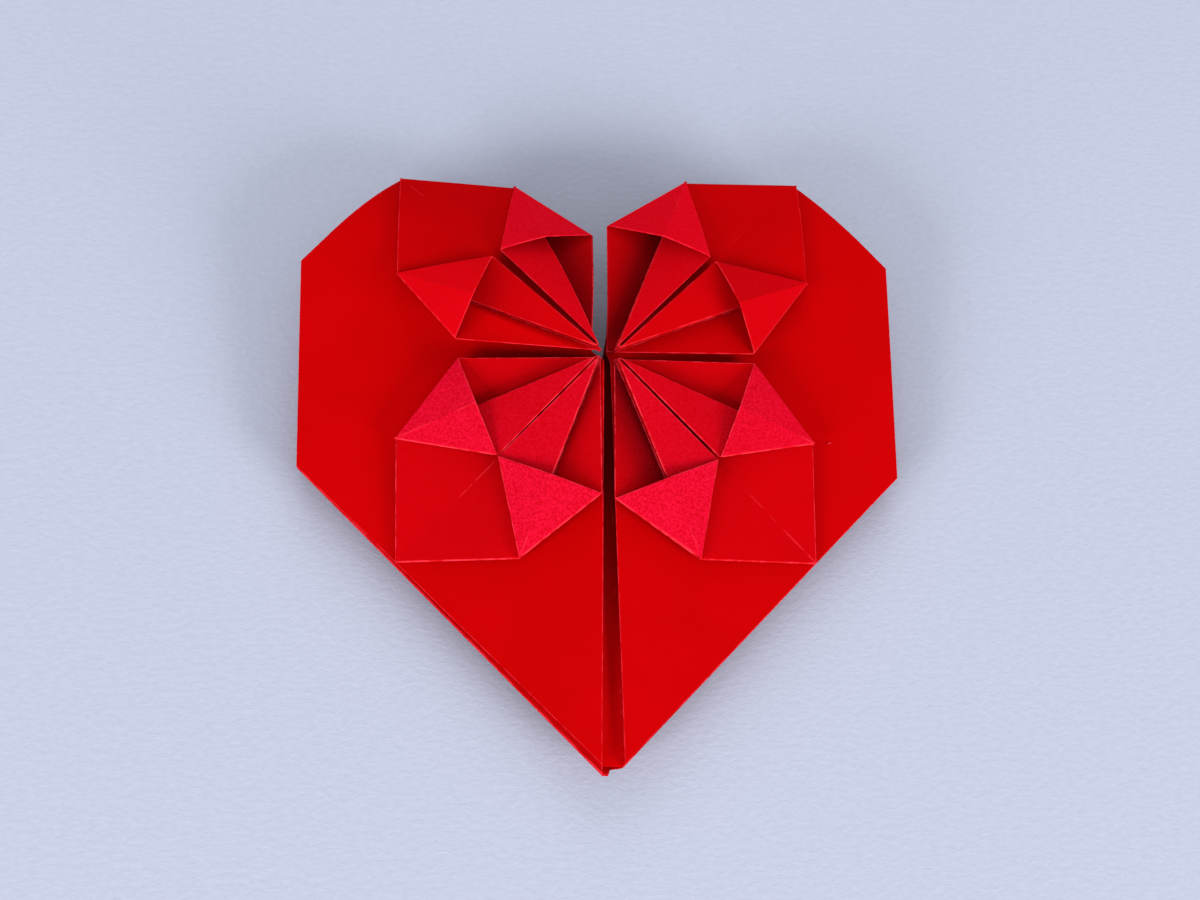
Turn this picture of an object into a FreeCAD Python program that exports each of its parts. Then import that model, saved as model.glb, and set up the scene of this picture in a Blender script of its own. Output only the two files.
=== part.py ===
"""Origami heart: one square sheet of paper folded into a heart with four windmill flowers.

The sheet is creased on a grid of eight by eight squares.  Its lower middle ends up as a double
back triangle, and its two sides as the arms of the heart.  The back lies on the table, and its
rims spring up towards the slanting lower edges of the heart.  Each arm is hinged to the back
along its slanting edge and springs up from it.
It carries two windmill flaps, each squashed into a diamond whose petals open to both sides.
The lobes at the top of the arms curl back down towards the table.

It is all one sheet, so every facet and every fold is fused into a single solid.
Millimetres; +Z is up, the heart lies on the table at z = 0 with its tip towards -Y, and the
origin is under the middle of its box.
"""
import FreeCAD, Part
import math
import os
from FreeCAD import Vector

doc = FreeCAD.newDocument("origami_heart")

# ---------------------------------------------------------------------------------------------
# Driving sizes: millimetres, degrees and one count
# ---------------------------------------------------------------------------------------------
DRIVING_SIZES = [
    ("sheet_side", 150.0, "side of the square sheet before it is folded"),
    ("paper_thickness", 0.12, "one layer of paper"),
    ("air_gap", 0.12, "between two layers that are pressed together"),
    ("right_half_width", 27.2, "flower centre to the upright fold at the right side"),
    ("left_half_width", 27.8, "flower centre to the upright fold at the left side"),
    ("right_tip_step", 0.15, "how far the right back layers reach past the front one at the tip"),
    ("left_tip_step", 0.85, "how far the left back layers reach past the front one at the tip"),
    ("slit_width", 0.1, "between the two arms at the flower centre, before they spring up"),
    ("slit_flare", 0.9, "how much further each arm stands off the middle at the tip"),
    ("notch_flare", 0.5, "how much further each arm stands off the middle at the notch"),
    ("right_arm_lift", 8.3, "angle that the right arm springs up by about its slanting edge"),
    ("left_arm_lift", 9.7, "angle that the left arm springs up by about its slanting edge"),
    ("right_lobe_curl", 18.0, "whole angle that the right lobe curls back by"),
    ("left_lobe_curl", 30.0, "whole angle that the left lobe curls back by"),
    ("edge_rise", 2.2, "slanting edges above the table, where the back springs up towards them"),
    ("rim_width", 8.0, "width of the rising rim of the back along each slanting edge"),
    ("bend_start", 2.0, "flower centre to the first bend of a lobe's curl"),
    ("bend_step", 2.6, "one bend of the curl to the next"),
    ("bend_count", 3.0, "number of bends in the curl"),
    ("bend_skew", 25.0, "angle from the heart's width to the bends, which drop towards the notch"),
    ("petal_gap", 0.32, "between a petal's tip and the lines through the flower centre"),
    ("petal_draw", 0.65, "how far the free corner of an outer petal draws in as it opens"),
    ("tight_petal_draw", 0.05, "the same for the right petals beside the slit, which stay shut"),
    ("petal_lift", 1.1, "free corner of an outer petal above its pressed place"),
    ("open_petal_lift", 4.0, "the same for the upper left petal, which stands furthest open"),
    ("wing_lift", 0.5, "outer end of a petal's free edge above its pressed place"),
    ("diamond_lift", 1.05, "free tip of the diamond above the front panel"),
    ("inner_petal_lift", 0.5, "raw corner of an inner petal above its pressed place"),
    ("flap_ridge", 0.15, "rise of the middle crease of a corner flap"),
]

sizes = doc.addObject("Spreadsheet::Sheet", "Sizes")
for row, (alias, value, meaning) in enumerate(DRIVING_SIZES, start=1):
    sizes.set(f"A{row}", alias)
    sizes.set(f"B{row}", str(value))
    sizes.set(f"C{row}", meaning)
    sizes.setAlias(f"B{row}", alias)
doc.recompute()

grid = sizes.sheet_side / 8
paper = sizes.paper_thickness
pitch = sizes.paper_thickness + sizes.air_gap

# ---------------------------------------------------------------------------------------------
# Flat geometry: an outline is a list of (x, y) corners, a height is a plane over it
# ---------------------------------------------------------------------------------------------


def level(z):
    """Height of a flat layer."""
    return lambda x, y: z


def plane(*corners):
    """Height of the plane through three corners (x, y, z)."""
    p, q, r = (Vector(*corner) for corner in corners)
    normal = (q - p).cross(r - p)
    return lambda x, y: p.z - (normal.x * (x - p.x) + normal.y * (y - p.y)) / normal.z


def raised(height, rise):
    """The same plane, higher by rise."""
    return lambda x, y: height(x, y) + rise


def between(p, q, share):
    """The point at a share of the way from p to q."""
    return tuple(start + share * (end - start) for start, end in zip(p, q))


def trim(outline, point, direction, reach):
    """The part of a convex outline within reach of a point, measured along a direction."""
    def beyond(corner):
        return (corner[0] - point[0]) * direction[0] + (corner[1] - point[1]) * direction[1] - reach

    kept = []
    for here, ahead in zip(outline, outline[1:] + outline[:1]):
        over_here, over_ahead = beyond(here), beyond(ahead)
        if over_here <= 0:
            kept.append(here)
        if over_here * over_ahead < 0:
            kept.append(between(here, ahead, over_here / (over_here - over_ahead)))
    return kept


def crossing(p, q, start, end):
    """Where the line from p to q crosses the line from start to end."""
    def side(point):
        run, rise = end[0] - start[0], end[1] - start[1]
        return run * (point[1] - start[1]) - rise * (point[0] - start[0])

    return between(p, q, side(p) / (side(p) - side(q)))


def area(outline):
    """Area of an outline."""
    pairs = zip(outline, outline[1:] + outline[:1])
    return abs(sum(p[0] * q[1] - q[0] * p[1] for p, q in pairs)) / 2


def folded_over(corner, p, q):
    """Where a corner lands when it is folded over the line through p and q."""
    corner, p, q = Vector(*corner), Vector(*p), Vector(*q)
    foot = p + (q - p) * ((corner - p).dot(q - p) / (q - p).dot(q - p))
    return (2 * foot.x - corner.x, 2 * foot.y - corner.y)


# ---------------------------------------------------------------------------------------------
# The curl of the lobes: an arm drops by one more angle at each of its parallel bend lines
# ---------------------------------------------------------------------------------------------
bend_count = round(sizes.bend_count)
bends = [sizes.bend_start + k * sizes.bend_step for k in range(bend_count)]
skew = math.radians(sizes.bend_skew)
across = (-math.sin(skew), math.cos(skew))
back_across = (math.sin(skew), -math.cos(skew))
SMALLEST_PIECE = 1e-6


def curled(x, y, z, curl):
    """Place of a point of the flat arm once its lobe has curled back by a whole angle."""
    distance = x * across[0] + y * across[1]
    reach, drop = min(distance, bends[0]), 0.0
    for k, (bend, end) in enumerate(zip(bends, bends[1:] + [math.inf])):
        run = max(0.0, min(distance, end) - bend)
        angle = math.radians(curl * (k + 1) / bend_count)
        reach += run * math.cos(angle)
        drop += run * math.sin(angle)
    drawn_in = reach - distance
    return Vector(x + drawn_in * across[0], y + drawn_in * across[1], z - drop)


def between_bends(outline):
    """The pieces of an outline that the bend lines cut it into."""
    for low, high in zip([-math.inf] + bends, bends + [math.inf]):
        piece = outline
        if low > -math.inf:
            piece = trim(piece, (0, 0), back_across, -low)
        if high < math.inf:
            piece = trim(piece, (0, 0), across, high)
        if len(piece) > 2 and area(piece) > SMALLEST_PIECE:
            yield piece


def prism(outline, bottom, top, place):
    """Solid between two planes over an outline, with each corner put in its place."""
    low = [place(x, y, bottom(x, y)) for x, y in outline]
    high = [place(x, y, top(x, y)) for x, y in outline]
    rings = [low, high]
    for k in range(len(outline)):
        n = (k + 1) % len(outline)
        rings.append([low[k], low[n], high[n], high[k]])
    faces = [Part.Face(Part.makePolygon(ring + ring[:1])) for ring in rings]
    solid = Part.Solid(Part.Shell(faces))
    if solid.Volume < 0:
        solid.reverse()
    return solid


def add_block(name, outline, bottom, top, curl):
    """A named object between two planes; curl is the angle of its lobe, or None if it has none."""
    block = doc.addObject("Part::Feature", name)
    if curl is None:
        pieces = [prism(outline, bottom, top, Vector)]
    else:
        def place(x, y, z):
            return curled(x, y, z, curl)
        pieces = [prism(piece, bottom, top, place) for piece in between_bends(outline)]
    block.Shape = pieces[0].multiFuse(pieces[1:]) if len(pieces) > 1 else pieces[0]
    return block


def add_facet(name, outline, height, curl=None):
    """One flat layer of paper over an outline."""
    return add_block(name, outline, height, raised(height, paper), curl)


def add_fuse(name, pieces):
    """One object of pieces that touch or overlap.

    Where the folds of five layers meet at a petal's wing they leave edges shorter than a
    thousandth of a millimetre, and a document fuse blurs those.  So the shape is fused exactly.
    """
    doc.recompute()
    shapes = [piece.Shape for piece in pieces]
    fuse = doc.addObject("Part::Feature", name)
    fuse.Shape = shapes[0].multiFuse(shapes[1:])
    volumes = [shape.Volume for shape in shapes]
    if not max(volumes) < fuse.Shape.Volume < sum(volumes):
        raise RuntimeError(f"{name} lost a piece when it was fused")
    return fuse


def add_fold(name, outline, p, q, bottom, top, curl=None):
    """The turn of the paper along the edge p-q of an outline, from one layer to another."""
    run = Vector(q[0] - p[0], q[1] - p[1]).normalize()
    inward = Vector(-run.y, run.x)
    middle = Vector(*(sum(values) / len(outline) for values in zip(*outline)))
    if (middle - Vector(*p)).dot(inward) < 0:
        inward = -inward
    strip = trim(outline, p, inward, paper)
    return add_block(f"{name}_fold", strip, bottom, raised(top, paper), curl)


# ---------------------------------------------------------------------------------------------
# Windmill flower: each quadrant is a square of the grid with its flap squashed into a diamond.
# One half of it, from the diagonal to the lower axis, is laid out here.
# ---------------------------------------------------------------------------------------------
# The petals are folded along lines that share the corner angles in two and in four, so the
# free corners lie where those lines meet the diagonal and the axis.
wing_share = math.tan(math.radians(22.5))
free_length = wing_share / math.cos(math.radians(33.75))
ridge_share = 1 - free_length * math.cos(math.radians(11.25))
corner_share = 1 - free_length * math.cos(math.radians(56.25))

wing = (grid, wing_share * grid)
outer_corner = (grid, grid)
diamond_tip = (sizes.petal_gap, sizes.petal_gap)
inner_tip = between(diamond_tip, wing, sizes.petal_gap / grid)
inner_corner = (ridge_share * grid + sizes.petal_gap, ridge_share * grid - sizes.petal_gap)
panel = level(pitch)


def flower_layers(draw, lift):
    """Outlines and heights of the facets of half a quadrant, and the folds that join them."""
    drawn = draw / math.sqrt(2)
    petal_corner = (corner_share * grid - drawn, drawn)
    flap_middle = crossing(petal_corner, inner_corner, diamond_tip, wing)

    petal_root = plane(
        (*diamond_tip, 2 * pitch),
        (*outer_corner, 2 * pitch),
        (*wing, 2 * pitch + sizes.wing_lift),
    )
    outer_petal = plane(
        (*diamond_tip, 2 * pitch),
        (*wing, petal_root(*wing)),
        (*petal_corner, 2 * pitch + lift),
    )
    diamond = plane(
        (*diamond_tip, pitch + sizes.diamond_lift),
        (*outer_corner, 3 * pitch),
        (*wing, petal_root(*wing) + pitch),
    )
    inner_petal = plane(
        (*inner_tip, diamond(*inner_tip) + pitch),
        (*wing, diamond(*wing) + pitch),
        (*inner_corner, diamond(*inner_corner) + pitch + sizes.inner_petal_lift),
    )
    inner_end = (*inner_corner, inner_petal(*inner_corner) + pitch)
    outer_end = (*petal_corner, outer_petal(*petal_corner) + pitch)
    flap_wing = (*wing, inner_petal(*wing) + pitch)
    # The crease rides on the inner petal, or higher where the raised corner carries it up
    under_crease = max(inner_petal(*flap_middle) + pitch, (inner_end[2] + outer_end[2]) / 2)
    flap_crease = (*flap_middle, under_crease + sizes.flap_ridge)
    flap_inner_half = plane(flap_wing, flap_crease, inner_end)
    flap_outer_half = plane(flap_wing, flap_crease, outer_end)

    facets = {
        "petal_root": ([diamond_tip, wing, outer_corner], petal_root),
        "outer_petal": ([diamond_tip, petal_corner, wing], outer_petal),
        "diamond": ([diamond_tip, wing, outer_corner], diamond),
        "inner_petal": ([inner_tip, wing, inner_corner], inner_petal),
        "flap_inner_half": ([wing, inner_corner, flap_middle], flap_inner_half),
        "flap_outer_half": ([wing, flap_middle, petal_corner], flap_outer_half),
    }
    folds = [
        ("petal_root", diamond_tip, outer_corner, panel, petal_root),
        ("diamond", wing, outer_corner, petal_root, diamond),
        ("inner_petal", inner_tip, wing, diamond, inner_petal),
        ("flap_inner_half", wing, inner_corner, inner_petal, flap_inner_half),
        ("flap_outer_half", wing, petal_corner, outer_petal, flap_outer_half),
    ]
    return facets, folds


def half_quadrant(name, layers, beside_slit, below, curl):
    """Half of one quadrant, turned to its own side of the diagonal and of the flower centre."""
    def turn(point):
        x, y = reversed(point) if beside_slit else point
        return (x, -y) if below else (x, y)

    def turned(height):
        def at(x, y):
            y = -y if below else y
            return height(y, x) if beside_slit else height(x, y)
        return at

    facets, folds = layers
    pieces = []
    for facet, (outline, height) in facets.items():
        outline = [turn(point) for point in outline]
        pieces.append(add_facet(f"{name}_{facet}", outline, turned(height), curl))
    for facet, p, q, bottom, top in folds:
        outline = [turn(point) for point in facets[facet][0]]
        bottom, top = turned(bottom), turned(top)
        pieces.append(add_fold(f"{name}_{facet}", outline, turn(p), turn(q), bottom, top, curl))
    return add_fuse(name, pieces)


# ---------------------------------------------------------------------------------------------
# Arm: two layers, with their side corner and their crown corner folded behind, and two flaps
# ---------------------------------------------------------------------------------------------
tip = (sizes.slit_flare, sizes.slit_flare - 2 * grid)
shoulder = outer_corner
crown = (wing_share * grid, grid)
inner_crown = (sizes.notch_flare, corner_share * grid)


def flat_arm(name, slit_draw, upper_lift):
    """The arm as it lies flat, with the flower centre at its origin and the slit along x = 0."""
    half_width = sizes.get(f"{name}_half_width")
    curl = sizes.get(f"{name}_lobe_curl")
    back_tip = (tip[0], tip[1] - sizes.get(f"{name}_tip_step"))
    low_side = (half_width, half_width - 2 * grid)
    high_side = (half_width, 2 * grid - half_width)
    folded_side = folded_over((2 * grid, 0), low_side, high_side)
    folded_crown = folded_over((0, grid), crown, inner_crown)

    outline = [back_tip, low_side, high_side, shoulder, crown, inner_crown, (0, 0)]
    front = [tip] + outline[1:]
    back = level(0)
    behind = level(-pitch)
    # The side corner hangs open behind the arm until its tip rests on the back triangle
    hinge_distance = (2 * grid - folded_side[0]) / math.sqrt(2)
    arm_lift = math.radians(sizes.get(f"{name}_arm_lift"))
    hang = hinge_distance * math.tan(arm_lift) + sizes.edge_rise / math.cos(arm_lift)
    side_flap = plane((*low_side, -pitch), (*high_side, -pitch), (*folded_side, -pitch - hang))

    layers = [
        add_facet(f"{name}_arm_back", outline, back, curl),
        add_facet(f"{name}_front_panel", front, panel, curl),
        add_facet(f"{name}_side_flap", [low_side, high_side, folded_side], side_flap, curl),
        add_facet(f"{name}_crown_flap", [crown, inner_crown, folded_crown], behind, curl),
        add_fold(f"{name}_shoulder", outline, high_side, shoulder, back, panel, curl),
        add_fold(f"{name}_side", outline, low_side, high_side, behind, panel, curl),
        add_fold(f"{name}_crown", outline, crown, inner_crown, behind, panel, curl),
    ]
    pieces = [add_fuse(f"{name}_arm_layers", layers)]
    for half, below, lift in (("upper", False, upper_lift), ("lower", True, sizes.petal_lift)):
        outside = flower_layers(sizes.petal_draw, lift)
        beside_slit = flower_layers(slit_draw, sizes.petal_lift)
        pieces.append(half_quadrant(f"{name}_{half}_outside", outside, False, below, curl))
        pieces.append(half_quadrant(f"{name}_{half}_beside_slit", beside_slit, True, below, curl))

    arm = add_fuse(f"{name}_flat_arm", pieces)
    arm.setExpression("Placement.Base.y", "Sizes.sheet_side / 4")
    return arm


ARM_HEIGHT = "Sizes.edge_rise + 3 * (Sizes.paper_thickness + Sizes.air_gap)"


def lifted_arm(name, arm):
    """The arm once it has sprung up about the slanting edge that hinges it to the back."""
    lifted = doc.addObject("Part::Compound", f"{name}_lifted_arm")
    lifted.Links = [arm]
    lifted.Placement.Rotation = FreeCAD.Rotation(Vector(1, 1, 0), sizes.get(f"{name}_arm_lift"))
    lifted.setExpression("Placement.Rotation.Angle", f"Sizes.{name}_arm_lift * 1 deg")
    lifted.setExpression("Placement.Base.x", "Sizes.slit_width / 2")
    lifted.setExpression("Placement.Base.y", "-Sizes.sheet_side / 4")
    lifted.setExpression("Placement.Base.z", ARM_HEIGHT)
    return lifted


right_arm = lifted_arm("right", flat_arm("right", sizes.tight_petal_draw, sizes.petal_lift))
left_arm = doc.addObject("Part::Mirroring", "left_arm")
left_arm.Source = lifted_arm("left", flat_arm("left", sizes.petal_draw, sizes.open_petal_lift))
left_arm.Normal = Vector(1, 0, 0)

# ---------------------------------------------------------------------------------------------
# Back triangle: two layers, folded along their upper edge and hinged to both arms.  It is flat on
# the table, apart from a rim at both sides that rises to the slanting edge.
# ---------------------------------------------------------------------------------------------
def slanting_edge(name, side):
    """Lower and upper end of the edge that hinges an arm; side is 1 at the right, -1 at the left."""
    out, half_width = sizes.slit_width / 2, sizes.get(f"{name}_half_width")
    foot = (side * (out + tip[0]), tip[1] - sizes.get(f"{name}_tip_step"))
    return foot, (side * (out + half_width), half_width - 2 * grid)


def direction(p, q):
    """Direction from p to q, with a length of one."""
    length = math.dist(p, q)
    return ((q[0] - p[0]) / length, (q[1] - p[1]) / length)


def back_half(name, half, foot, corner, side):
    """The pieces of the half of the back that is nearer to the slanting edge foot-corner."""
    run = direction(foot, corner)
    inward = (-side * run[1], side * run[0])
    outward = (-inward[0], -inward[1])
    rim = trim(half, foot, inward, sizes.rim_width)
    flat = trim(half, foot, outward, -sizes.rim_width)
    rim_foot = (foot[0] + inward[0] * sizes.rim_width, foot[1] + inward[1] * sizes.rim_width)
    rising = plane((*foot, sizes.edge_rise), (*corner, sizes.edge_rise), (*rim_foot, 0))

    pieces = []
    for part, outline, height in (("rim", rim, rising), ("flat", flat, level(0))):
        inner = raised(height, pitch)
        pieces.append(add_facet(f"{name}_outer_{part}", outline, height))
        pieces.append(add_facet(f"{name}_inner_{part}", outline, inner))
        if len(trim(outline, (0, 0), (0, -1), paper)) > 2:
            pieces.append(add_fold(f"{name}_{part}_top", outline, (0, 0), (corner[0], 0), height, inner))
    arm_level = level(sizes.edge_rise + 3 * pitch)
    pieces.append(add_fold(f"{name}_hinge", rim, foot, corner, rising, arm_level))
    return pieces


right_edge, left_edge = slanting_edge("right", 1), slanting_edge("left", -1)
right_top, left_top = (right_edge[1][0], 0), (left_edge[1][0], 0)
back_outline = [*right_edge, right_top, left_top, left_edge[1], left_edge[0]]
# The halves meet where both slanting edges are equally far away, so that the rims meet in a line
meeting = crossing(*right_edge, *left_edge)
right_run, left_run = direction(*right_edge), direction(*left_edge)
to_right = (right_run[0] - left_run[0], right_run[1] - left_run[1])
to_left = (-to_right[0], -to_right[1])
right_half = trim(back_outline, meeting, to_left, 0)
left_half = trim(back_outline, meeting, to_right, 0)
back = add_fuse("back", [
    *back_half("right", right_half, *right_edge, 1),
    *back_half("left", left_half, *left_edge, -1),
])

# ---------------------------------------------------------------------------------------------
# The whole sheet, with the origin under the middle of its box
# ---------------------------------------------------------------------------------------------
sheet = add_fuse("sheet", [right_arm, left_arm, back])
sheet.Shape = sheet.Shape.removeSplitter()

folded_sheet = doc.addObject("Part::Compound", "folded_sheet")
folded_sheet.Label = "folded_sheet"
folded_sheet.Links = [sheet]
box = sheet.Shape.BoundBox
folded_sheet.Placement.Base = Vector(-box.Center.x, -box.Center.y, 0)
doc.recompute()

for item in doc.Objects:
    if {"Invalid", "Error"} & set(item.State):
        raise RuntimeError(f"{item.Name} failed: {item.State}")
shape = folded_sheet.Shape
if shape.isNull() or not shape.isValid() or len(shape.Solids) != 1:
    raise RuntimeError("the folded sheet is not one valid solid")

os.makedirs("parts", exist_ok=True)
shape.exportStep(f"parts/{folded_sheet.Label}.step")
print("box", shape.BoundBox)
print("volume", shape.Volume, "centre of mass", shape.Solids[0].CenterOfMass, "faces", len(shape.Faces))
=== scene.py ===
import math

import bmesh
import bpy
import numpy as np
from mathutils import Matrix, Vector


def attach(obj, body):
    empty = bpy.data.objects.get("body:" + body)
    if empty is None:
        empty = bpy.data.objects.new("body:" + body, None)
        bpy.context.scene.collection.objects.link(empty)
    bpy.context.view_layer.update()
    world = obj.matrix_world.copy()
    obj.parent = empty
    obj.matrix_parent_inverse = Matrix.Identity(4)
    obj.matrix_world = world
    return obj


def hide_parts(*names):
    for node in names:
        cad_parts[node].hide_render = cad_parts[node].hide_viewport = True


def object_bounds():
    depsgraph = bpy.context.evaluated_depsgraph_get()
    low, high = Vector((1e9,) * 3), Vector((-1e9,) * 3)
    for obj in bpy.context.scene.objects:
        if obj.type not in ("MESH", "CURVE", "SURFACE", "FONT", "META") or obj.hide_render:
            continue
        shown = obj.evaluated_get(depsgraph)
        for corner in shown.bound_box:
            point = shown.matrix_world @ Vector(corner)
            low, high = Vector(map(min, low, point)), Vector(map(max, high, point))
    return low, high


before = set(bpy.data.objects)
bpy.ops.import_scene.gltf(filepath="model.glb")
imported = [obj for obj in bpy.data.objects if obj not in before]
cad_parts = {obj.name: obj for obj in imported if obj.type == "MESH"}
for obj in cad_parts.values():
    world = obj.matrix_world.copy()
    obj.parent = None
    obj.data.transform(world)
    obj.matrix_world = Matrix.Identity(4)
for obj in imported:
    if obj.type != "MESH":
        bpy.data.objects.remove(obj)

cad_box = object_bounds()

# ---------------------------------------------------------------------------------------------
# Back
# The lower middle of the square sheet, folded double along its top edge.  It lies on the table
# and springs up towards its slanting edges, which carry the arms.  The sheet is thin red craft
# paper, 150 mm a side, creased on a grid of eight by eight squares.
# ---------------------------------------------------------------------------------------------
sheet_side = 0.150
grid = sheet_side / 8
paper, pitch = 0.00012, 0.00024
fold_depth = 0.00014
pillow_reach = 0.0035
rim_step, mesh_step = 0.00008, 0.0009
slit_width, slit_flare = 0.0001, 0.0009
edge_rise, spring_width = 0.0022, 0.0112

# Tip_step is how far an arm's rear tip reaches below its front tip.  Lift and curl are in degrees.
# Parting is where the edge of the upper slit starts, web how far the rear layer reaches under the
# slit, and strip how strong the shade is that is painted between the flowers.  A speck of fluff is
# x, y and size.
arms = {
    "right": {"side": 1, "half_width": 0.0272, "tip_step": 0.00015, "lift": 8.3, "curl": 18.0,
              "parting": -0.0004, "web": 0.0012, "strip": 0.4,
              "specks": [(0.02065, -0.0073, 0.00026)]},
    "left": {"side": -1, "half_width": 0.0278, "tip_step": 0.00085, "lift": 9.7, "curl": 30.0,
             "parting": 0.0011, "web": 0.0, "strip": 0.8, "specks": []},
}
NO_CREASE = 1.0
layers = []


def level(z):
    """Height of a flat layer."""
    return lambda x, y: z + 0 * x


def between(p, q, share):
    """The point at a share of the way from p to q."""
    return np.asarray(p) + share * (np.asarray(q) - np.asarray(p))


def inner_side(p, q, middle):
    """The direction across the line p-q, in the flat sheet, that points to a facet's middle."""
    run = np.subtract(q, p) / np.linalg.norm(np.subtract(q, p))
    side = np.array([-run[1], run[0]])
    return side if np.dot(np.subtract(middle, p), side) > 0 else -side


def drawn_in(outline, folded):
    """A convex outline whose folded edges lie further in, to leave room for the fold's back.

    Edge k runs from corner k to the next.  Each line moves in by two fifths of a fold's
    depth where it is folded, and the new corners are where neighbouring lines cross.
    """
    outline = np.asarray(outline, float)
    middle = outline.mean(axis=0)
    ahead = np.roll(outline, -1, axis=0)
    sides = np.array([inner_side(p, q, middle) for p, q in zip(outline, ahead)])
    tuck = 0.4 * fold_depth * np.isin(range(len(outline)), folded)
    offsets = (outline * sides).sum(axis=1) + tuck
    pairs = np.stack([np.roll(sides, 1, axis=0), sides], axis=1)
    return np.linalg.solve(pairs, np.stack([np.roll(offsets, 1), offsets], axis=1)[..., None])[..., 0]


def distance_to(points, lines):
    """Distance in the flat sheet from each point to the nearest of several straight lines."""
    nearest = np.full(points.shape[:-1], NO_CREASE)
    for p, q in lines:
        along = np.subtract(q, p)
        share = np.clip(((points - p) @ along) / (along @ along), 0, 1)
        nearest = np.minimum(nearest, np.linalg.norm(points - p - share[..., None] * along, axis=-1))
    return nearest


def shares(stops):
    """Shares of the way along a line that has stops at given distances.

    They run evenly from stop to stop, with one more close to each side of every stop and a
    second one near both ends, where the paper's rim and its worn edge are.
    """
    stops = np.asarray(stops, float) - stops[0]
    counts = np.maximum(2, np.round(np.diff(stops) / mesh_step)).astype(int)
    even = [np.linspace(a, b, n, endpoint=False) for a, b, n in zip(stops[:-1], stops[1:], counts)]
    near = [stops[:-1] + rim_step, stops[1:] - rim_step,
            [3 * rim_step, stops[-1] - 3 * rim_step, stops[-1]]]
    return np.unique(np.clip(np.concatenate(even + near), 0, stops[-1])) / stops[-1]


def between_sides(left, right):
    """Grid of flat points between two lines that climb together, one row for each y."""
    left, right = np.asarray(left), np.asarray(right)
    stops = np.unique(np.r_[left[:, 1], right[:, 1]])
    y = stops[0] + shares(stops) * (stops[-1] - stops[0])
    x_left, x_right = (np.interp(y, line[:, 1], line[:, 0]) for line in (left, right))
    s = shares([0, np.max(x_right - x_left)])
    x = x_left[:, None] + s * (x_right - x_left)[:, None]
    return np.dstack([x, np.repeat(y[:, None], s.size, axis=1)])


def add_layer(flat, height, outline, wear=0.5, fibre_sheen=0.0, creases=(), bulge=0.0, painted_shading=0.0):
    """One layer of paper over a grid of flat points, as a closed slab with rounded rims.

    Its underside is at height(x, y) plus a gentle pillow that rises with the distance from the
    outline.  Its top is the same grid a paper's thickness higher, and the outermost ring of it
    drops by a third of that.  The fifth argument is how strong a painted pink sheen is, and the
    last one is painted shade: how much darker the colour is drawn there, and painted light below 0,
    where it is drawn brighter than elsewhere.
    """
    outline = np.asarray(outline, float)
    rim = distance_to(flat, list(zip(outline, np.roll(outline, -1, axis=0))))
    under = height(flat[..., 0], flat[..., 1]) + bulge * (1 - np.exp(-(rim / pillow_reach) ** 2))
    drop = np.zeros(rim.shape)
    drop[[0, -1], :] = drop[:, [0, -1]] = paper / 3
    layers.append({
        "top": np.dstack([flat, under + paper - drop]), "bottom": np.dstack([flat, under]),
        "rim": rim, "crease": distance_to(flat, creases),
        "wear": np.full(rim.shape, wear), "fibre_sheen": np.full(rim.shape, fibre_sheen),
        "painted_shading": np.broadcast_to(painted_shading, rim.shape),
    })


def add_fold(p, q, inward, low, high, wear=0.5):
    """The rounded back of a fold along p-q, from the layer low up to the layer high.

    Its section is half an ellipse that starts under the lower layer, bulges out to the line
    and ends on top of the upper layer.  A flat inner side closes it.
    """
    p, q = np.asarray(p), np.asarray(q)
    t = np.linspace(0, 1, max(8, int(np.linalg.norm(q - p) / mesh_step)))
    turn = np.linspace(-math.pi / 2, math.pi / 2, 7)
    line = between(p, q, t[:, None])
    foot = low(line[:, 0], line[:, 1])
    head = high(line[:, 0], line[:, 1]) + paper
    half = np.maximum((head - foot) / 2, paper / 2)
    height = (head + foot)[:, None] / 2 + half[:, None] * np.sin(turn)
    steps = fold_depth * (1 - np.cos(turn))[None, :, None] * np.asarray(inward)
    inner = np.full((1, turn.size, 1), fold_depth) * np.asarray(inward)
    even = np.ones(height.shape)
    layers.append({
        "top": np.dstack([line[:, None] + steps, height]),
        "bottom": np.dstack([line[:, None] + inner + 0 * steps, height]),
        "rim": fold_depth / 2 * (1 - np.cos(turn)) * even, "crease": NO_CREASE * even,
        "wear": wear * even, "fibre_sheen": 0 * even, "painted_shading": 0 * even,
    })


def slanting_edge(arm):
    """Lower and upper end of the slanting edge that an arm is hinged to."""
    side, out = arm["side"], slit_width / 2
    return [
        (side * (out + slit_flare), slit_flare - 2 * grid - arm["tip_step"]),
        (side * (out + arm["half_width"]), arm["half_width"] - 2 * grid),
    ]


def sprung_back(x, y):
    """Height of the back: flat in the middle, it curves up as the square of the way to an edge."""
    points = np.stack([x, y], axis=-1)
    left, right = ((points - edge[0]) @ inner_side(*edge, back_middle)
                   for edge in (left_edge, right_edge))
    return edge_rise * np.clip(1 - np.minimum(left, right) / spring_width, 0, 1) ** 2


def upper_back(x, y):
    """Height of the back's upper layer, a pitch above the lower one."""
    return sprung_back(x, y) + pitch


left_edge, right_edge = slanting_edge(arms["left"]), slanting_edge(arms["right"])
left_top, right_top, back_middle = (left_edge[1][0], 0), (right_edge[1][0], 0), (0, -grid / 2)
back_outline = [*left_edge, left_top, right_top, *right_edge[::-1]]
drawn_back = drawn_in(back_outline, folded=[0, 2, 4])
blunt_tip = [(-0.0004, drawn_back[0][1]), (-0.0002, drawn_back[-1][1] - 0.0001)]
back_grid = between_sides(drawn_back[:3], [*blunt_tip, *drawn_back[:2:-1]])
for height in (sprung_back, upper_back):
    add_layer(back_grid, height, back_outline)
add_fold(left_top, right_top, (0, -1), sprung_back, upper_back)
for edge in (left_edge, right_edge):
    add_fold(*edge, inner_side(*edge, back_middle), level(edge_rise), level(edge_rise + 3 * pitch))

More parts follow.
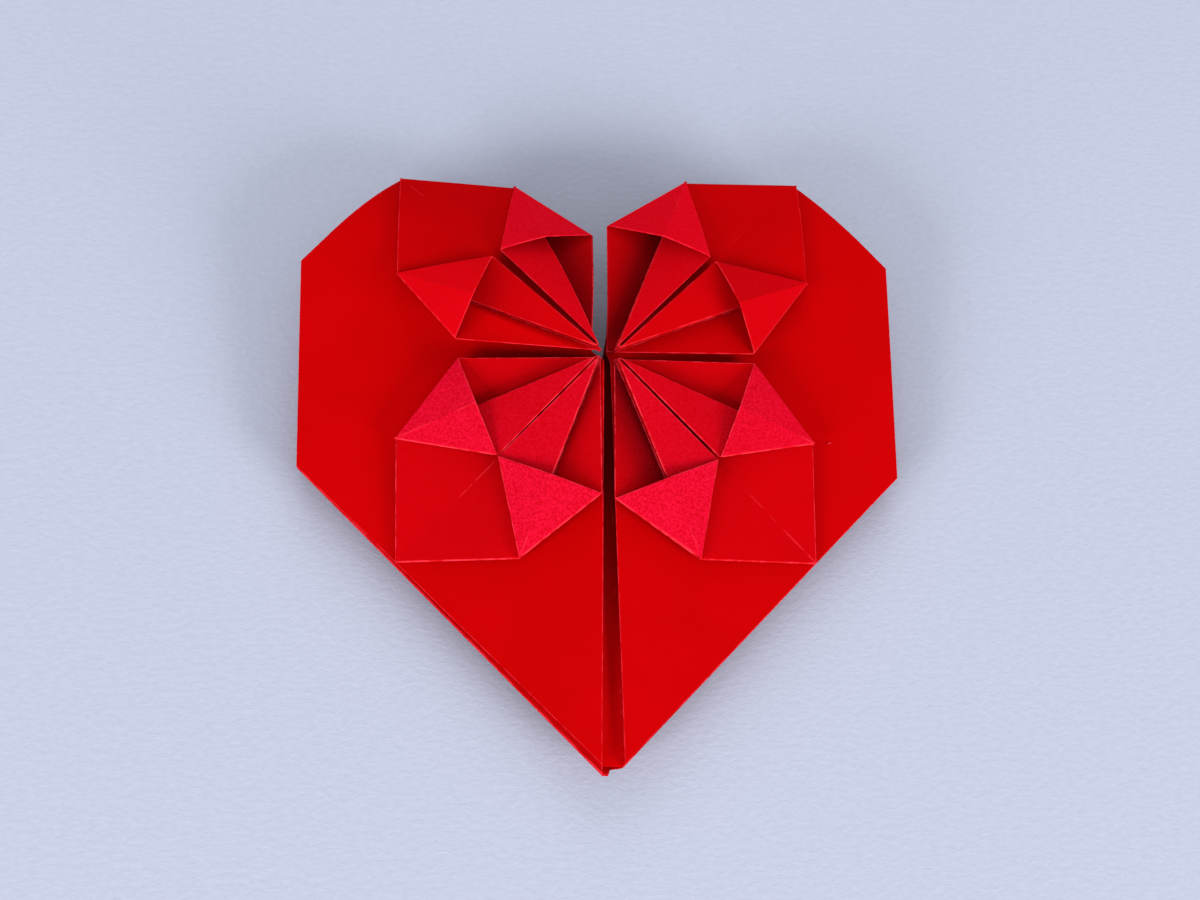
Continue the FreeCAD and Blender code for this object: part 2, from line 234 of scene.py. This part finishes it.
# ---------------------------------------------------------------------------------------------
# Arms
# Each arm is two layers of the sheet with its side corner and its crown corner turned in behind.
# It springs up about its slanting edge, and its lobe rolls back down towards the table.
# ---------------------------------------------------------------------------------------------
# Shares of a grid square, from the folding angles: how far up its side a flap's wing lies, how
# long a corner flap's two folded edges are, and where the corners of the inner petal on the
# diagonal and of the outer petal on the axis lie.
wing_share = math.tan(math.radians(22.5))
free_length = wing_share / math.cos(math.radians(33.75))
ridge_share = 1 - free_length * math.cos(math.radians(11.25))
corner_share = 1 - free_length * math.cos(math.radians(56.25))

roll_start, roll_end, roll_skew = 0.0007, 0.0085, math.radians(25)
across = np.array([-math.sin(roll_skew), math.cos(roll_skew)])
wave_height = 0.00002
notch_flare = 0.0005
parting_end, slit_turn, slit_foot = 0.0003, -0.0006, -0.034
panel, behind = level(pitch), level(-pitch)


def plane(*corners):
    """Height of the plane through three corners (x, y, z)."""
    p, q, r = np.asarray(corners, float)
    normal = np.cross(q - p, r - p)
    return lambda x, y: p[2] - (normal[0] * (x - p[0]) + normal[1] * (y - p[1])) / normal[2]


def fan(pole, *rim_points):
    """Grid of flat points from a pole out to the line through the rim points.

    Point = pole + t * (rim(s) - pole), with s along the rim and t from 0 at the pole to 1.
    """
    rim_points = np.asarray(rim_points, float)
    stops = np.r_[0, np.cumsum(np.linalg.norm(np.diff(rim_points, axis=0), axis=1))]
    s = shares(stops) * stops[-1]
    rim_line = np.stack([np.interp(s, stops, rim_points[:, k]) for k in (0, 1)], axis=-1)
    t = shares([0, np.linalg.norm(rim_points - pole, axis=1).max()])
    return np.asarray(pole) + t[:, None, None] * (rim_line[None] - pole)


def folded_over(corner, p, q):
    """Where a corner lands when it is folded over the line p-q."""
    corner, p, q = (np.asarray(point, float) for point in (corner, p, q))
    foot = p + (q - p) * np.dot(corner - p, q - p) / np.dot(q - p, q - p)
    return 2 * foot - corner


def rolled(points, curl):
    """Points of a flat arm with its lobe rolled back by a whole angle curl, in degrees.

    Up to roll_start the paper is flat.  Then it follows an arc that keeps its length, and past
    roll_end it runs on straight at the whole angle.
    """
    curl = math.radians(curl)
    radius = (roll_end - roll_start) / curl
    distance = points[..., :2] @ across
    angle = np.clip((distance - roll_start) / radius, 0, curl)
    beyond = np.maximum(distance - roll_end, 0)
    reach = np.minimum(distance, roll_start) + radius * np.sin(angle) + beyond * math.cos(curl)
    drop = radius * (1 - np.cos(angle)) + beyond * math.sin(curl)
    shift = (reach - distance)[..., None] * across
    return np.concatenate([points[..., :2] + shift, (points[..., 2] - drop)[..., None]], axis=-1)


def sprung(points, arm):
    """Points of a flat arm where they are in the heart: waved, rolled, lifted and at their side.

    The waves are left from folding and opening the sheet.  The lift is a turn about the
    slanting edge, through the tip and along (1, 1, 0).
    """
    x, y = points[..., 0], points[..., 1]
    phase = 1.7 * arm["side"]
    wave = wave_height * (np.sin(210 * x + 130 * y + phase) + np.sin(260 * y - 90 * x + 2 * phase)
                          + 0.6 * np.sin(480 * x - 300 * y + 3 * phase))
    points = rolled(np.dstack([x, y, points[..., 2] + wave]), arm["curl"]) + [0, 2 * grid, 0]
    lift = math.radians(arm["lift"])
    axis = np.array([1, 1, 0]) / math.sqrt(2)
    points = (points * math.cos(lift) + np.cross(axis, points) * math.sin(lift)
              + (points @ axis)[..., None] * axis * (1 - math.cos(lift)))
    return (points + [slit_width / 2, -2 * grid, edge_rise + 3 * pitch]) * [arm["side"], 1, 1]


def shade_between_flowers(flat):
    """Painted shade in the strip between an arm's flowers: a bell across it that fades out."""
    half_strip, strip_end, fade = 0.0013, 0.0105, 0.0016
    x, y = flat[..., 0], flat[..., 1]
    return np.exp(-(y / half_strip) ** 2) / (1 + np.exp((x - strip_end) / fade))


def sagging(x, y):
    """Height of the rear layer that reaches under the slit and sags there as a bell.

    The sag grows evenly from the slit's foot up to the middle of the flowers, and ends 2 mm
    above it.
    """
    foot_sag, added_sag, half_bell, end = 0.0005, 0.0011, 0.0016, 0.002
    sag = foot_sag + added_sag * np.clip((y - slit_foot) / (slit_turn - slit_foot), 0, 1)
    return -sag * np.exp(-(x / half_bell) ** 2) * np.clip((end - y) / end, 0, 1)


def shade_under_slit(flat):
    """Painted shade on the rear layer down in the slit: a bell that grows up to the flowers."""
    darkest, half_bell, pale_end, growth = 0.85, 0.003, -0.025, 0.017
    x, y = flat[..., 0], flat[..., 1]
    return darkest * np.exp(-(x / half_bell) ** 2) * np.clip((y - pale_end) / growth, 0, 1)


def add_arm(arm):
    """The two layers of a flat arm, the folds round them and the corners turned in behind.

    The side corner hangs from its fold down to the table.  Its drop is its distance from the
    slanting edge times the tangent of the lift, plus the edge's own rise over the lift's cosine.
    """
    width, lift = arm["half_width"], math.radians(arm["lift"])
    tip = (slit_flare, slit_flare - 2 * grid)
    low_side, high_side = (width, width - 2 * grid), (width, 2 * grid - width)
    shoulder, crown = (grid, grid), (wing_share * grid, grid)
    notch = (notch_flare, corner_share * grid)
    parted, turn = (arm["parting"], parting_end), (0, slit_turn)
    rear_start = (tip[0], tip[1] - arm["tip_step"])
    rear_layer = sagging if arm["web"] else level(0)
    for start, height, web in ((rear_start, rear_layer, arm["web"]), (tip, panel, 0)):
        outline = [start, low_side, high_side, shoulder, crown, notch, parted, turn]
        right_line = [start, *drawn_in([start, low_side, high_side, shoulder, (0, 0)], [1, 2])[1:4]]
        right_line[-1][1] = grid
        slit_line = [(-web, tip[1]), (-web, slit_turn)] if web else [start, turn]
        flat = between_sides([*slit_line, parted, notch, crown], right_line)
        # Painted shade: dark down in the slit on the rear layer, and in the strip between the
        # flowers.
        painted_shading = shade_under_slit(flat) if web else arm["strip"] * shade_between_flowers(flat)
        add_layer(flat, height, outline, painted_shading=painted_shading)
    side_corner = folded_over((2 * grid, 0), low_side, high_side)
    crown_corner = folded_over((0, grid), crown, notch)
    hang = (2 * grid - side_corner[0]) / math.sqrt(2) * math.tan(lift) + edge_rise / math.cos(lift)
    side_flap = plane((*low_side, -pitch), (*high_side, -pitch), (*side_corner, -pitch - hang))
    add_layer(fan(side_corner, low_side, high_side), side_flap, [low_side, high_side, side_corner])
    add_layer(fan(crown_corner, crown, notch), behind, [crown, notch, crown_corner])
    middle = (grid / 2, 0)
    for x, y, size in arm["specks"]:
        outline = [(x - size, y - 0.3 * size), (x + size, y + 0.1 * size), (x, y + 0.5 * size)]
        # A speck takes full wear and the full pink that elsewhere is painted sheen.
        add_layer(fan(*outline), level(pitch + paper), outline, wear=1.0, fibre_sheen=1.0)
    for p, q, low in ((high_side, shoulder, level(0)), (low_side, high_side, behind),
                      (crown, notch, behind)):
        add_fold(p, q, inner_side(p, q, middle), low, panel)


# ---------------------------------------------------------------------------------------------
# Windmill flowers
# Four flaps round each flower centre are squashed into diamonds.  On both sides of each, a petal
# opens from under it, another lies on top, and a corner flap with a mid crease holds both.
# ---------------------------------------------------------------------------------------------
petal_gap = 0.00032
wing_lift, diamond_lift, inner_lift = 0.0005, 0.00105, 0.0005
# The shade painted in the cleft between the inner petals is this wide, and the diamond has this share
# of the flower's painted sheen.
cleft_width, diamond_sheen = 0.0006, 0.08
wing, outer_corner = (grid, wing_share * grid), (grid, grid)

# A pair is for the half away from the slit and the half beside it: how far the outer petal is
# lifted and drawn in, how high the corner flap's crease stands, how strong the painted pink sheen
# is, how strong the shade painted on the outer petal along its fold is (light is painted there
# below 0), and how much light is painted on the corner flap.  Gap is how far an inner petal's
# corner lies off the diagonal, reach how far the painted shade reaches, cleft how strong the shade
# painted between the inner petals is, and wear how worn the edges and creases are.
flowers = {
    "right": {
        "upper": {"lifts": (0.0014, 0.0006), "draws": (0.0006, 0.00002), "ridges": (0.0013, 0.0011),
                  "fibre_sheen": (0.12, 0.4), "painted_shading": (0.1, 1.0), "painted_light": (0.15, 0.35),
                  "gap": 0.00022, "reach": 0.0028, "cleft_shade": 0.7, "wear": 0.5},
        "lower": {"lifts": (0.0012, 0.0010), "draws": (0.00055, 0.0), "ridges": (0.0006, 0.0005),
                  "fibre_sheen": (0.7, 0.95), "painted_shading": (0.2, 1.0), "painted_light": (0.0, 0.0),
                  "gap": 0.0001, "reach": 0.0028, "cleft_shade": 0.7, "wear": 1.0},
    },
    "left": {
        "upper": {"lifts": (0.0039, 0.0009), "draws": (0.0007, 0.0008), "ridges": (0.0006, 0.0011),
                  "fibre_sheen": (0.15, 0.5), "painted_shading": (-0.75, 0.85), "painted_light": (0.55, 0.3),
                  "gap": 0.00034, "reach": 0.004, "cleft_shade": 0.8, "wear": 0.5},
        "lower": {"lifts": (0.0012, 0.0011), "draws": (0.00065, 0.00055), "ridges": (0.0006, 0.0005),
                  "fibre_sheen": (0.85, 0.95), "painted_shading": (0.2, 0.45), "painted_light": (0.0, 0.0),
                  "gap": 0.00002, "reach": 0.0013, "cleft_shade": 0.0, "wear": 1.0},
    },
}


def crossing(p, q, start, end):
    """Where the line p-q crosses the line start-end, from how far p and q lie off it."""
    run, rise = np.subtract(end, start)
    off_p, off_q = (run * (point[1] - start[1]) - rise * (point[0] - start[0]) for point in (p, q))
    return between(p, q, off_p / (off_p - off_q))


def half_flower(lift, draw, gap, ridge, parting):
    """Facets and folds of one half of a squashed flap, from the diagonal to the x axis.

    Every facet is a plane over its outline that goes through its folded corners, a pitch above
    what it lies on.  Outlines start at the pole of their fan.  The outer petal ends at parting
    beside the slit.
    """
    tip = (petal_gap, petal_gap)
    petal_corner = (corner_share * grid - draw / math.sqrt(2), draw / math.sqrt(2))
    inner_corner = (ridge_share * grid + gap, ridge_share * grid - gap)
    outer_tip = (petal_gap, parting)
    petal_outline = [wing, *([tip] if parting < petal_gap else []), outer_tip, petal_corner]
    inner_tip = between(tip, wing, petal_gap / grid)
    diagonal_end = between(tip, outer_corner, 0.99)
    flap_middle = crossing(petal_corner, inner_corner, tip, wing)

    root = plane((*tip, 2 * pitch), (*outer_corner, 2 * pitch), (*wing, 2 * pitch + wing_lift))
    outer_petal = plane((*tip, 2 * pitch), (*wing, root(*wing)), (*petal_corner, 2 * pitch + lift))
    diamond = plane((*tip, pitch + diamond_lift), (*outer_corner, 3 * pitch),
                    (*wing, root(*wing) + pitch))
    inner_petal = plane((*inner_tip, diamond(*inner_tip) + pitch), (*wing, diamond(*wing) + pitch),
                        (*inner_corner, diamond(*inner_corner) + pitch + inner_lift))
    inner_end = (*inner_corner, inner_petal(*inner_corner) + pitch)
    outer_end = (*petal_corner, outer_petal(*petal_corner) + pitch)
    flap_wing = (*wing, inner_petal(*wing) + pitch)
    flap_rest = max(inner_petal(*flap_middle) + pitch, (inner_end[2] + outer_end[2]) / 2)
    flap_crease = (*flap_middle, flap_rest + ridge)
    inner_half, outer_half = (plane(flap_wing, flap_crease, end) for end in (inner_end, outer_end))
    inward = inner_side(wing, flap_middle, inner_corner)

    def flap(x, y):
        inside = (x - wing[0]) * inward[0] + (y - wing[1]) * inward[1] > 0
        return np.where(inside, inner_half(x, y), outer_half(x, y))

    # Each facet may have its share of the flower's painted sheen, a bulge for how far it pillows and,
    # on a corner flap, the far end of its crease as middle.  The marked petal gets painted shade
    # along the fold it opens from.
    facets = [
        {"outline": [outer_corner, tip, wing], "folded": [0, 2], "height": root},
        {"outline": petal_outline, "folded": [len(petal_outline) - 1], "height": outer_petal,
         "fibre_sheen": 0.1, "bulge": 0.00012, "painted_shading": True},
        {"outline": [inner_tip, wing, inner_corner], "folded": [0, 1], "height": inner_petal,
         "fibre_sheen": 0.4, "bulge": 0.00008},
        {"outline": [wing, inner_corner, petal_corner], "folded": [0, 2], "height": flap,
         "fibre_sheen": 1.0, "middle": flap_middle},
    ]
    folds = [
        (tip, diagonal_end, wing, panel, root),
        (wing, outer_corner, tip, root, diamond),
        (inner_tip, wing, inner_corner, diamond, inner_petal),
        (wing, inner_corner, flap_middle, inner_petal, inner_half),
        (wing, petal_corner, flap_middle, outer_petal, outer_half),
    ]
    return facets, folds, diamond


def add_flower(flower, parting):
    """One squashed flap in the square x, y > 0 of the flat arm; its second half swaps x and y.

    Painted shade darkens an outer petal in a bell from the edge that it opens from, and the diamond
    in a bell across the cleft between the inner petals, which ends at their corners.  Painted light
    brightens the corner flaps.
    """
    pairs = (flower[key] for key in ("lifts", "draws", "ridges", "fibre_sheen", "painted_shading", "painted_light"))
    for beside_slit, lift, draw, ridge, fibre_sheen, painted_shading, painted_light in zip((False, True), *pairs):
        def turned(points):
            return np.asarray(points)[..., ::-1] if beside_slit else np.asarray(points)

        def swapped(height):
            return (lambda x, y: height(y, x)) if beside_slit else height

        half_parting = parting if beside_slit else petal_gap
        facets, folds, diamond = half_flower(lift, draw, flower["gap"], ridge, half_parting)
        for facet in facets:
            pole, *rim_points = drawn_in(facet["outline"], facet["folded"])
            creases = []
            if "middle" in facet:
                rim_points.insert(1, facet["middle"])
                creases.append(turned((facet["outline"][0], facet["middle"])))
            flat = fan(pole, *rim_points)
            # Painted shade on the outer petal near its fold, painted light on the corner flap, and
            # the facet's share of the painted sheen.
            away = distance_to(flat, [((petal_gap, petal_gap), wing)]) / flower["reach"]
            shade_by_petal = painted_shading * np.exp(-away ** 2) * ("painted_shading" in facet)
            add_layer(turned(flat), swapped(facet["height"]), turned(facet["outline"]),
                      flower["wear"], fibre_sheen * facet.get("fibre_sheen", 0.0), creases, facet.get("bulge", 0.0),
                      shade_by_petal - painted_light * ("middle" in facet))
        for p, q, middle, low, high in folds:
            inward = turned(inner_side(p, q, middle))
            add_fold(turned(p), turned(q), inward, swapped(low), swapped(high), flower["wear"])
    outline = [(petal_gap, petal_gap), wing, outer_corner, wing[::-1]]
    pole, *rim_points = drawn_in(outline, [0, 1, 2, 3])
    flat = fan(pole, *rim_points)
    # Painted shade on the diamond in the cleft between the inner petals.
    off_diagonal = (flat[..., 0] - flat[..., 1]) / cleft_width
    inside = 1 / (1 + np.exp((flat.sum(axis=-1) - 2 * ridge_share * grid) / cleft_width))
    add_layer(flat, lambda x, y: diamond(np.maximum(x, y), np.minimum(x, y)), outline,
              flower["wear"], diamond_sheen * flower["fibre_sheen"][0], [(outline[0], outer_corner)],
              painted_shading=flower["cleft_shade"] * np.exp(-off_diagonal ** 2) * inside)


for name, arm in arms.items():
    arm_start = len(layers)
    add_arm(arm)
    add_flower(flowers[name]["upper"], arm["parting"])
    lower_start = len(layers)
    add_flower(flowers[name]["lower"], petal_gap)
    for layer in layers[lower_start:]:
        for face in ("top", "bottom"):
            layer[face][..., 1] *= -1
    for layer in layers[arm_start:]:
        layer["top"], layer["bottom"] = sprung(layer["top"], arm), sprung(layer["bottom"], arm)

# ---------------------------------------------------------------------------------------------
# The folded sheet
# All its layers and folds are one piece of paper, so they are one mesh.  Its back is on the table
# and the middle of its outline is over the origin.
# ---------------------------------------------------------------------------------------------


def closed_grid(layer):
    """Vertices, faces and marks of one layer.

    Its two sides are the same grid of quads, and a ring of quads joins their borders.
    """
    rows, columns = layer["top"].shape[:2]
    number = np.arange(rows * columns).reshape(rows, columns)
    quads = np.stack([number[:-1, :-1], number[:-1, 1:], number[1:, 1:], number[1:, :-1]], axis=-1)
    quads = quads.reshape(-1, 4)
    border = np.r_[number[0, :-1], number[:-1, -1], number[-1, :0:-1], number[:0:-1, 0]]
    ahead = np.roll(border, -1)
    ring = np.stack([ahead, border, border + number.size, ahead + number.size], axis=-1)
    points = np.concatenate([layer["top"].reshape(-1, 3), layer["bottom"].reshape(-1, 3)])
    marks = {key: np.tile(layer[key].ravel(), 2) for key in ("rim", "crease", "wear", "fibre_sheen", "painted_shading")}
    return points, np.concatenate([quads, quads[:, ::-1] + number.size, ring]), marks


shells = [closed_grid(layer) for layer in layers]
firsts = np.cumsum([0] + [len(points) for points, _, _ in shells])
points = np.concatenate([points for points, _, _ in shells])
faces = np.concatenate([faces + first for (_, faces, _), first in zip(shells, firsts)])
cad_middle = (np.array(cad_box[0]) + np.array(cad_box[1])) / 2
points[:, :2] += cad_middle[:2] - (points.min(axis=0) + points.max(axis=0))[:2] / 2

mesh = bpy.data.meshes.new("folded_paper")
mesh.from_pydata(points.tolist(), [], faces.tolist())
# The marks: rim and crease in mm, how worn, how strong the painted sheen, and painted shade (painted
# light below 0).
for key, unit in (("rim", 0.001), ("crease", 0.001), ("wear", 1.0), ("fibre_sheen", 1.0), ("painted_shading", 1.0)):
    values = np.concatenate([marks[key] for _, _, marks in shells]) / unit
    mesh.attributes.new(key, "FLOAT", "POINT").data.foreach_set("value", values.astype(np.float32))

shape = bmesh.new()
shape.from_mesh(mesh)
vertices = list(shape.verts)
for first, last in zip(firsts[:-1], firsts[1:]):
    bmesh.ops.remove_doubles(shape, verts=vertices[first:last], dist=1e-8)
bmesh.ops.recalc_face_normals(shape, faces=shape.faces)
shape.to_mesh(mesh)
shape.free()
mesh.shade_smooth()
folded_paper = bpy.data.objects.new("folded_paper", mesh)
bpy.context.scene.collection.objects.link(folded_paper)
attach(folded_paper, "root")
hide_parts("folded_sheet")

# ---------------------------------------------------------------------------------------------
# Paper finish
# Matt red craft paper, dyed through.  A pink sheen is painted on it, mottled by its fibres and
# strongest on the corner flaps and the lower flowers.  The dye is worn pale along raw edges and
# pressed folds.  Shade is painted dark down in the slit, between the flowers and in the narrow
# places between petals, and light is painted on some flaps to brighten them.
# ---------------------------------------------------------------------------------------------
paper_finish = bpy.data.materials.new("red_craft_paper")
paper_finish.use_nodes = True
nodes, links = paper_finish.node_tree.nodes, paper_finish.node_tree.links
shader = nodes["Principled BSDF"]
shader.inputs["Specular IOR Level"].default_value = 0.01
object_place = nodes.new("ShaderNodeTexCoord").outputs["Object"]


def fibre_group():
    """Node group of the fibres in a sheet: a distorted noise, and the normal of its relief.

    Fineness is how many cells the noise has to a metre, and Depth the relief's height in metres.
    """
    group = bpy.data.node_groups.new("paper_fibres", "ShaderNodeTree")
    for name, direction, kind in (("Place", "INPUT", "Vector"), ("Fineness", "INPUT", "Float"),
                                  ("Depth", "INPUT", "Float"), ("Fibres", "OUTPUT", "Float"),
                                  ("Normal", "OUTPUT", "Vector")):
        group.interface.new_socket(name, in_out=direction, socket_type="NodeSocket" + kind)
    start, end = group.nodes.new("NodeGroupInput"), group.nodes.new("NodeGroupOutput")
    fibres, relief = group.nodes.new("ShaderNodeTexNoise"), group.nodes.new("ShaderNodeBump")
    for socket, value in (("Detail", 2), ("Roughness", 0.6), ("Distortion", 0.3)):
        fibres.inputs[socket].default_value = value
    relief.inputs["Strength"].default_value = 0.5
    for output, socket in ((start.outputs["Place"], fibres.inputs["Vector"]),
                           (start.outputs["Fineness"], fibres.inputs["Scale"]),
                           (start.outputs["Depth"], relief.inputs["Distance"]),
                           (fibres.outputs["Fac"], relief.inputs["Height"]),
                           (fibres.outputs["Fac"], end.inputs["Fibres"]),
                           (relief.outputs["Normal"], end.inputs["Normal"])):
        group.links.new(output, socket)
    return group


def add_fibres(tree, place, fineness, depth):
    """The fibre group placed in a material's tree, with its own fineness and depth there."""
    node = tree.nodes.new("ShaderNodeGroup")
    node.node_tree = paper_fibres
    tree.links.new(place, node.inputs["Place"])
    node.inputs["Fineness"].default_value, node.inputs["Depth"].default_value = fineness, depth
    return node


def noise(scale, detail):
    """Grey noise in the paper's own place, with scale cells to a metre."""
    node = nodes.new("ShaderNodeTexNoise")
    links.new(object_place, node.inputs["Vector"])
    node.inputs["Scale"].default_value, node.inputs["Detail"].default_value = scale, detail
    return node.outputs["Fac"]


def mark(name):
    """One of the mesh's marks, in millimetres or as a share."""
    node = nodes.new("ShaderNodeAttribute")
    node.attribute_name = name
    return node.outputs["Fac"]


def ramp(value, low, high, at_low=0.0, at_high=1.0):
    """Value carried by a smooth step from at_low to at_high between low and high."""
    node = nodes.new("ShaderNodeMapRange")
    node.interpolation_type = "SMOOTHSTEP"
    links.new(value, node.inputs["Value"])
    for socket, number in (("From Min", low), ("From Max", high),
                           ("To Min", at_low), ("To Max", at_high)):
        node.inputs[socket].default_value = number
    return node.outputs["Result"]


def times(a, b):
    """Product of two values."""
    node = nodes.new("ShaderNodeMath")
    node.operation = "MULTIPLY"
    for value, socket in zip((a, b), node.inputs):
        if isinstance(value, float):
            socket.default_value = value
        else:
            links.new(value, socket)
    return node.outputs["Value"]


def mixed(share, colour, other):
    """Colour changed to another by a share."""
    node = nodes.new("ShaderNodeMix")
    node.data_type = "RGBA"
    links.new(share, node.inputs["Factor"])
    for value, socket in ((colour, node.inputs["A"]), (other, node.inputs["B"])):
        if isinstance(value, tuple):
            socket.default_value = (*value, 1)
        else:
            links.new(value, socket)
    return node.outputs["Result"]


# The darkest red below is painted shade and the first pink a painted sheen; the others are the dye,
# its random tone and its worn edges.
PLAIN_RED = (0.46, 0.0001, 0.0010)
DEEP_RED = (0.43, 0.0001, 0.0006)
PAINTED_SHADE_RED = (0.11, 0.0, 0.0002)
SHEEN_PINK = (0.70, 0.0045, 0.0330)
WORN_PINK = (0.78, 0.0300, 0.0500)
worn_width = (0.02, 0.11)

paper_fibres = fibre_group()
clouds = noise(scale=110, detail=3)
fibres = add_fibres(paper_finish.node_tree, object_place, fineness=4800, depth=0.00004)
breaks = noise(scale=900, detail=2)
patches = noise(scale=170, detail=1)
dye_and_shade = mixed(ramp(clouds, 0.35, 0.65), DEEP_RED, PLAIN_RED)
# Painted shade darkens the colour where the mark is above 0, and painted light brightens it below 0.
dye_and_shade = mixed(mark("painted_shading"), dye_and_shade, PAINTED_SHADE_RED)
dye_and_shade.node.clamp_factor = False    # a mark below 0 takes the colour away from the painted shade: painted light, brighter
# Painted sheen: a pink mottle from the fibres, as strong as the mark says.
sheen = times(mark("fibre_sheen"), ramp(fibres.outputs["Fibres"], 0.32, 0.68, 0.25, 1.0))
paper_with_sheen = mixed(sheen, dye_and_shade, SHEEN_PINK)
edge_wear = times(times(mark("wear"), ramp(mark("rim"), *worn_width, 1.0, 0.0)),
                  ramp(breaks, 0.38, 0.62, 0.2, 1.0))
crease_wear = times(times(mark("wear"), ramp(mark("crease"), *worn_width, 0.4, 0.0)),
                    times(ramp(breaks, 0.35, 0.6), ramp(patches, 0.5, 0.6)))
creased_paper = mixed(crease_wear, paper_with_sheen, WORN_PINK)
links.new(mixed(edge_wear, creased_paper, WORN_PINK), shader.inputs["Base Color"])
links.new(ramp(clouds, 0.3, 0.7, 0.72, 0.85), shader.inputs["Roughness"])
links.new(fibres.outputs["Normal"], shader.inputs["Normal"])
mesh.materials.append(paper_finish)

# ---------------------------------------------------------------------------------------------
# Table and light
# A plain pale table covered with paper, whose fibres run mostly from left to right.  Two soft
# lamps stand low at the near left and near right, with a weak one behind, and the sky is dim and
# even.
# ---------------------------------------------------------------------------------------------
table_mesh = bpy.data.meshes.new("table")
half_side, air = 1.5, 0.00002
corners = [(-half_side, -half_side, 0), (half_side, -half_side, 0),
           (half_side, half_side, 0), (-half_side, half_side, 0)]
table_mesh.from_pydata(corners, [], [(0, 1, 2, 3)])
table = bpy.data.objects.new("table", table_mesh)
table.location.z = -air
bpy.context.scene.collection.objects.link(table)
table_finish = bpy.data.materials.new("pale_table")
table_finish.use_nodes = True
table_shader = table_finish.node_tree.nodes["Principled BSDF"]
table_shader.inputs["Roughness"].default_value = 0.9
table_shader.inputs["Specular IOR Level"].default_value = 0.1
table_tree = table_finish.node_tree
stretch = table_tree.nodes.new("ShaderNodeMapping")
stretch.inputs["Scale"].default_value = (0.62, 1.0, 0.62)
table_place = table_tree.nodes.new("ShaderNodeTexCoord").outputs["Object"]
table_tree.links.new(table_place, stretch.inputs["Vector"])
table_fibres = add_fibres(table_tree, stretch.outputs["Vector"], fineness=2100, depth=0.00008)
tones = table_tree.nodes.new("ShaderNodeMix")
tones.data_type = "RGBA"
tones.inputs["A"].default_value = (0.400, 0.435, 0.531, 1)
tones.inputs["B"].default_value = (0.456, 0.495, 0.605, 1)
table_tree.links.new(table_fibres.outputs["Fibres"], tones.inputs["Factor"])
table_tree.links.new(tones.outputs["Result"], table_shader.inputs["Base Color"])
table_tree.links.new(table_fibres.outputs["Normal"], table_shader.inputs["Normal"])
table_mesh.materials.append(table_finish)


def add_lamp(name, place, size, watts, colour):
    """A square soft lamp that faces the middle of the heart."""
    light = bpy.data.lights.new(name, "AREA")
    light.size, light.energy, light.color = size, watts, colour
    lamp = bpy.data.objects.new(name, light)
    lamp.location = place
    lamp.rotation_euler = (-lamp.location).to_track_quat("-Z", "Y").to_euler()
    bpy.context.scene.collection.objects.link(lamp)


add_lamp("lamp_right", (0.46, -0.385, 0.215), size=0.26, watts=3.95, colour=(1.0, 0.97, 0.98))
add_lamp("lamp_left", (-0.45, -0.395, 0.22), size=0.26, watts=3.75, colour=(0.98, 0.97, 1.0))
add_lamp("lamp_back", (0.0, 0.52, 0.28), size=0.3, watts=1.1, colour=(1.0, 0.98, 1.0))

world = bpy.data.worlds.new("even_sky")
world.use_nodes = True
world.node_tree.nodes["Background"].inputs["Color"].default_value = (0.96, 0.96, 1.0, 1)
world.node_tree.nodes["Background"].inputs["Strength"].default_value = 0.64
bpy.context.scene.world = world
bpy.context.scene.view_settings.view_transform = "Standard"

# ---------------------------------------------------------------------------------------------
# Camera
# It hangs about 15 cm from the middle of the heart, nearly straight above, a little towards the
# heart's tip and to its left, and looks down on it.
# ---------------------------------------------------------------------------------------------
camera = bpy.data.objects.new("camera", bpy.data.cameras.new("camera"))
camera.data.lens, camera.data.sensor_width = 49.5, 36.0
camera.data.clip_start = 0.005
camera.location = (-0.01552, -0.05047, 0.14432)
camera.rotation_euler = [math.radians(angle) for angle in (20.27, -5.70, -1.42)]
bpy.context.scene.collection.objects.link(camera)
bpy.context.scene.camera = camera
